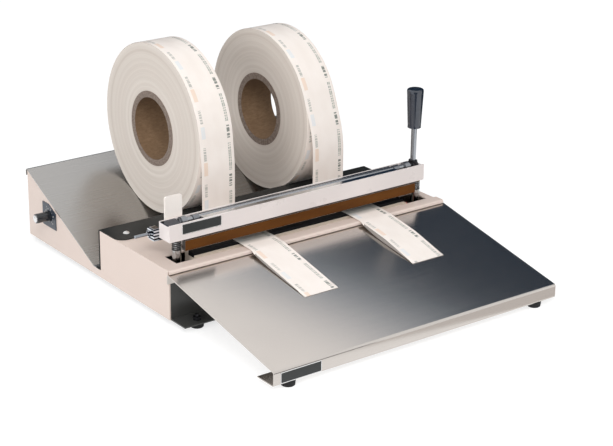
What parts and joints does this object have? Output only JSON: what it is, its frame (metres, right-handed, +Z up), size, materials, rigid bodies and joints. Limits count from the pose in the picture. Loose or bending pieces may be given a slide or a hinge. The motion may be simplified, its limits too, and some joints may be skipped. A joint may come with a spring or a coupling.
{
  "type": "heat sealer",
  "caption": "Lever press heat sealer with a heated bar over a padded jaw, film reels in a rear trough, a sliding cutter, a sloped front tray and a heat knob.",
  "frame": {"origin": "middle of the part's box, on the surface that the feet stand on", "axes": "+X to the operator's right, +Y from the tray to the rear panel, +Z up"},
  "size_m": [0.4238, 0.537, 0.2632],
  "materials": {
    "painted_panel": "smooth cream enamel",
    "head_paint": "smooth pale enamel",
    "black_paint": "satin black paint",
    "stainless_satin": "brushed stainless sheet",
    "stainless_polished": "polished stainless strip",
    "screw_steel": "bright zinc plating",
    "black_bolt": "black oxide",
    "foot_rubber": "matt black rubber",
    "jaw_profile": "ribbed tan anodised profile",
    "silicone_pad": "matt black silicone",
    "stand_steel": "zinc plated sheet",
    "lead_sleeve": "red silicone sleeve",
    "ground_steel": "ground and chromed steel",
    "spring_steel": "dark spring wire",
    "machined_steel": "machined steel",
    "moulded_black": "moulded black plastic",
    "dial_face": "dark blue printed plate",
    "coil_iron": "varnished laminations",
    "board_green": "green circuit board",
    "film": "pale paper and film laminate",
    "card": "wound brown card",
    "heater_alloy": "plain aluminium",
    "element": "sheathed heating rod",
    "insulation": "pressed glass fibre",
    "glass_cloth": "brown coated glass cloth",
    "bush_bronze": "bronze bush",
    "grip_black": "glossy black grip",
    "tab_white": "white plastic tab",
    "blade_steel": "ground blade",
    "silver_cap": "turned aluminium"
  },
  "bodies": {
    "stand": {"base_plate": "black_paint", "front_wall": "black_paint", "cross_wall": "black_paint", "rear_panel": "painted_panel", "left_side": "painted_panel", "right_side": "painted_panel", "deck": "painted_panel", "roll_trough": "stainless_satin", "trough_screws": "screw_steel", "front_rail": "painted_panel", "front_tray": "stainless_satin", "tray_feet": "foot_rubber", "base_feet": "foot_rubber", "foot_bolts": "black_bolt", "lower_jaw": "jaw_profile", "jaw_pad": "silicone_pad", "jaw_stands": "stand_steel", "jaw_lead": "lead_sleeve", "guide_columns": "ground_steel", "column_sockets": "ground_steel", "return_springs": "spring_steel", "bearing_blocks": "machined_steel", "mains_inlet": "moulded_black", "switch_frame": "moulded_black", "dial_plate": "dial_face", "thermostat": "moulded_black", "transformer": "coil_iron", "control_board": "board_green", "left_web": "film", "right_web": "film"},
    "head": {"head_channel": "head_paint", "head_end_caps": "head_paint", "head_top_strips": "stainless_polished", "heater_bar": "heater_alloy", "heater_element": "element", "insulation_strip": "insulation", "cloth_cover": "glass_cloth", "heater_bolts": "screw_steel", "column_bushes": "bush_bronze", "wear_blocks": "machined_steel", "rail_brackets": "moulded_black", "cutter_rail": "ground_steel", "rail_nuts": "screw_steel"},
    "lever": {"camshaft": "ground_steel", "cams": "machined_steel", "lever_hub": "machined_steel", "lever_rod": "ground_steel", "lever_grip": "grip_black"},
    "cutter": {"cutter_carriage": "moulded_black", "cutter_handle": "tab_white", "cutter_blade": "blade_steel"},
    "knob": {"control_knob": "grip_black", "knob_cap": "silver_cap", "knob_spindle": "silver_cap"},
    "rocker": {"power_rocker": "moulded_black"},
    "left_reel": {"left_roll": "film", "left_core": "card"},
    "right_reel": {"right_roll": "film", "right_core": "card"}
  },
  "joints": [
    {"name": "lever_pull", "type": "hinge", "parent": "stand", "child": "lever", "pos_m": [0.1904, -0.03, 0.108], "axis": [1, 0, 0], "range_deg": [0, 70]},
    {"name": "head_press", "type": "slide", "parent": "stand", "child": "head", "axis": [0, 0, -1], "range_m": [0, 0.005], "stiffness_N_per_m": 200, "springref_m": -0.036, "deforming": ["return_springs"]},
    {"name": "cutter_slide", "type": "slide", "parent": "head", "child": "cutter", "axis": [1, 0, 0], "range_m": [0, 0.32]},
    {"name": "knob_turn", "type": "hinge", "parent": "stand", "child": "knob", "pos_m": [-0.1911, 0.2101, 0.0482], "axis": [-1, 0, 0], "range_deg": [-135, 135]},
    {"name": "power_switch", "type": "hinge", "parent": "stand", "child": "rocker", "pos_m": [0.1039, 0.2635, 0.039], "axis": [1, 0, 0], "range_deg": [0, 16]},
    {"name": "left_reel_spin", "type": "hinge", "parent": "stand", "child": "left_reel", "pos_m": [-0.0546, 0.14955, 0.1567], "axis": [1, 0, 0], "continuous": true},
    {"name": "right_reel_spin", "type": "hinge", "parent": "stand", "child": "right_reel", "pos_m": [0.1057, 0.14929, 0.15325], "axis": [1, 0, 0], "continuous": true}
  ],
  "couplings": [
    {"joint": "lever_pull", "follows": "head_press", "rad_per_m": 244.34}
  ]
}
